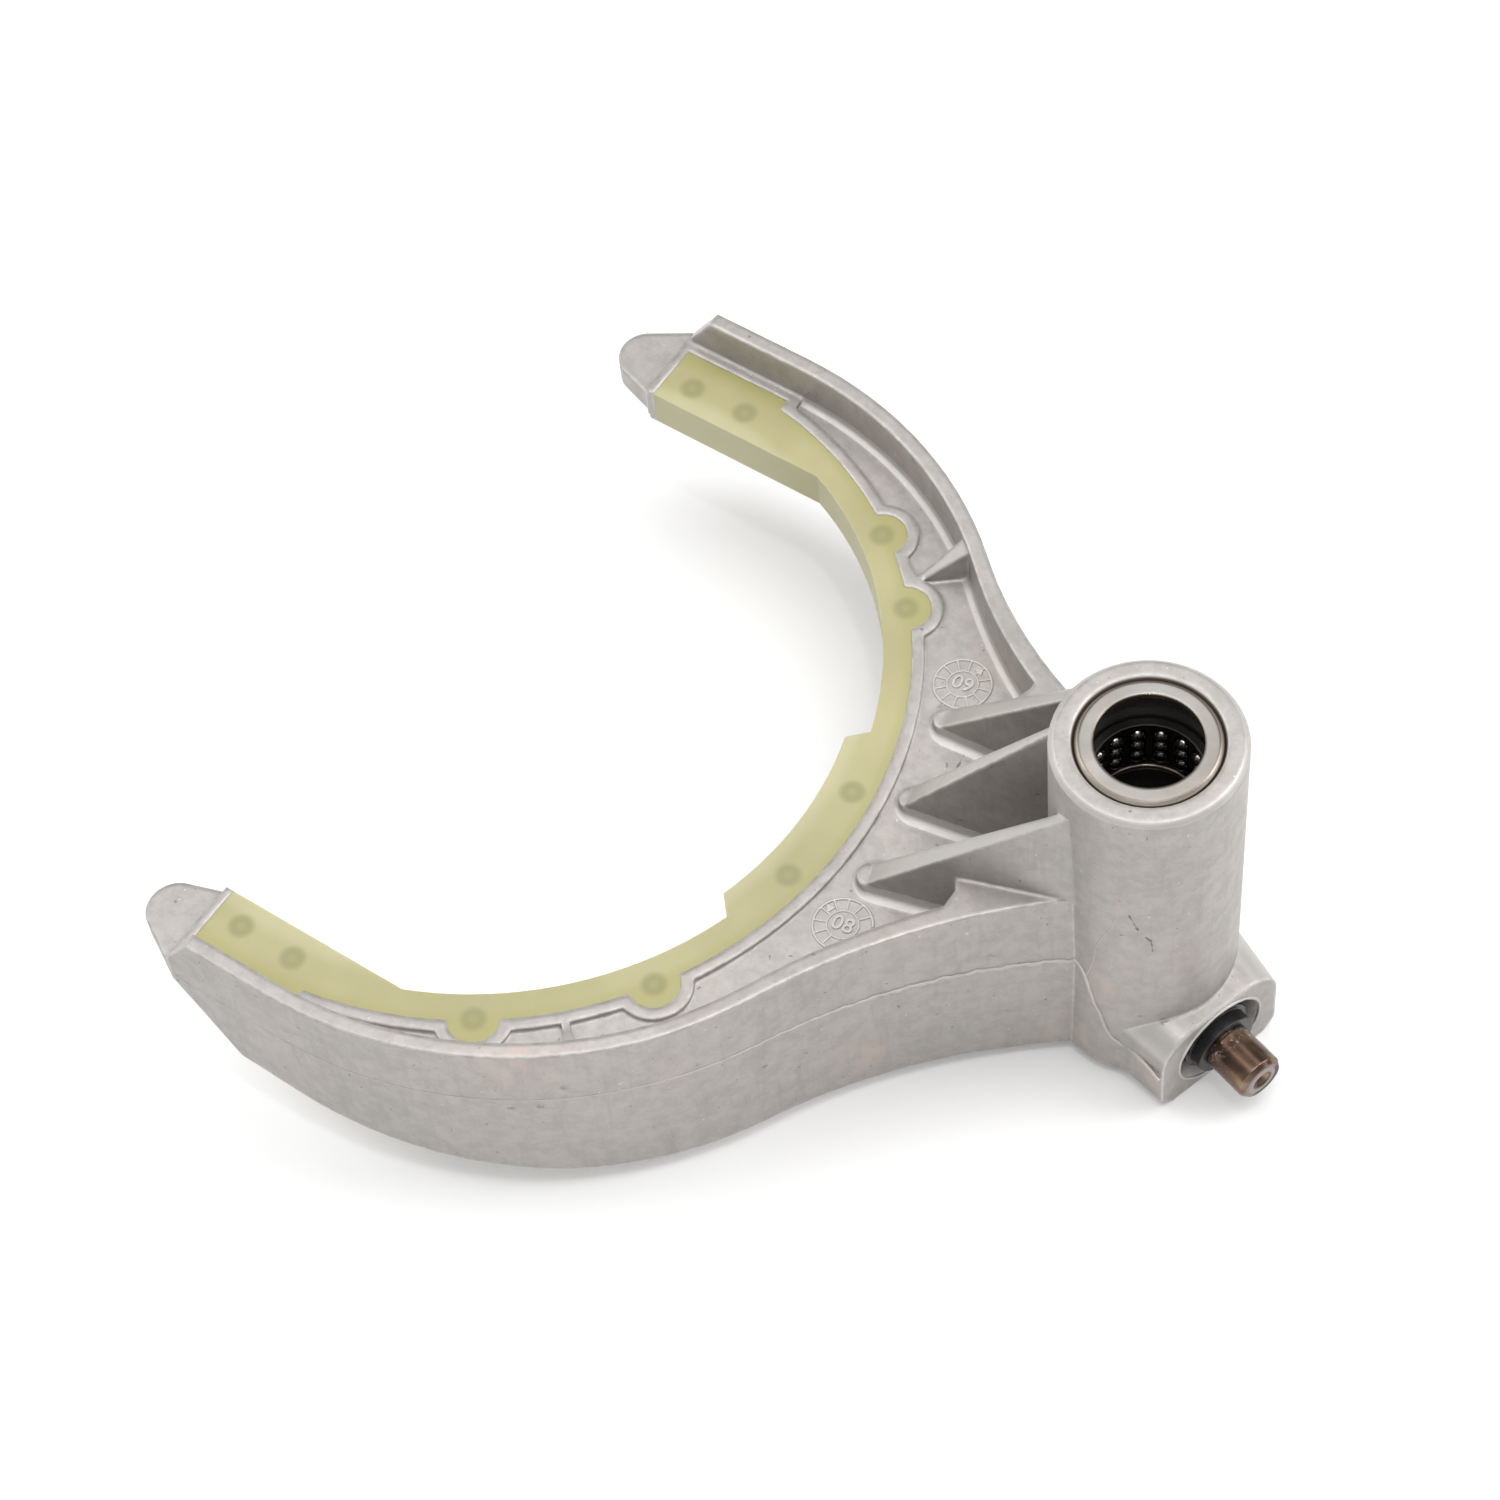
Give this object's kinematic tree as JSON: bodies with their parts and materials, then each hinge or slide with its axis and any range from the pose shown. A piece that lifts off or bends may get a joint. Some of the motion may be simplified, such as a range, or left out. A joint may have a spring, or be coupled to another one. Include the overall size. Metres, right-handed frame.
{
  "type": "transfer case shift fork",
  "caption": "Die-cast shift fork with a tall rail hub on ball bushings, a nylon liner moulded round its open sleeve gap, stiffening ribs and a side follower pin.",
  "frame": {"origin": "on the rail axis, level with the middle of the liner's thickness", "axes": "+Z along the rail towards the hub's taller end, -X towards the open side of the sleeve gap, arms parallel to X"},
  "size_m": [0.1707, 0.1569, 0.0814],
  "materials": {
    "casting": "die-cast, matt with smooth patches",
    "liner": "translucent yellow-green nylon",
    "pin": "brown phosphate coat, ground end",
    "collar": "black",
    "shell": "bright drawn steel",
    "cage": "black moulded",
    "balls": "polished steel"
  },
  "bodies": {
    "fork": {"fork_casting": "casting", "fork_liner": "liner", "follower_pin": "pin", "pin_collar": "collar", "bearing_shells": "shell"},
    "upper_cage": {"upper_ball_cage": "cage", "upper_bearing_balls": "balls"},
    "lower_cage": {"lower_ball_cage": "cage", "lower_bearing_balls": "balls"}
  },
  "joints": [
    {"name": "upper_cage_stroke", "type": "slide", "parent": "fork", "child": "upper_cage", "axis": [0, 0, 1], "range_m": [0, 0.0081]},
    {"name": "lower_cage_stroke", "type": "slide", "parent": "fork", "child": "lower_cage", "axis": [0, 0, 1], "range_m": [0, 0.0081]}
  ]
}
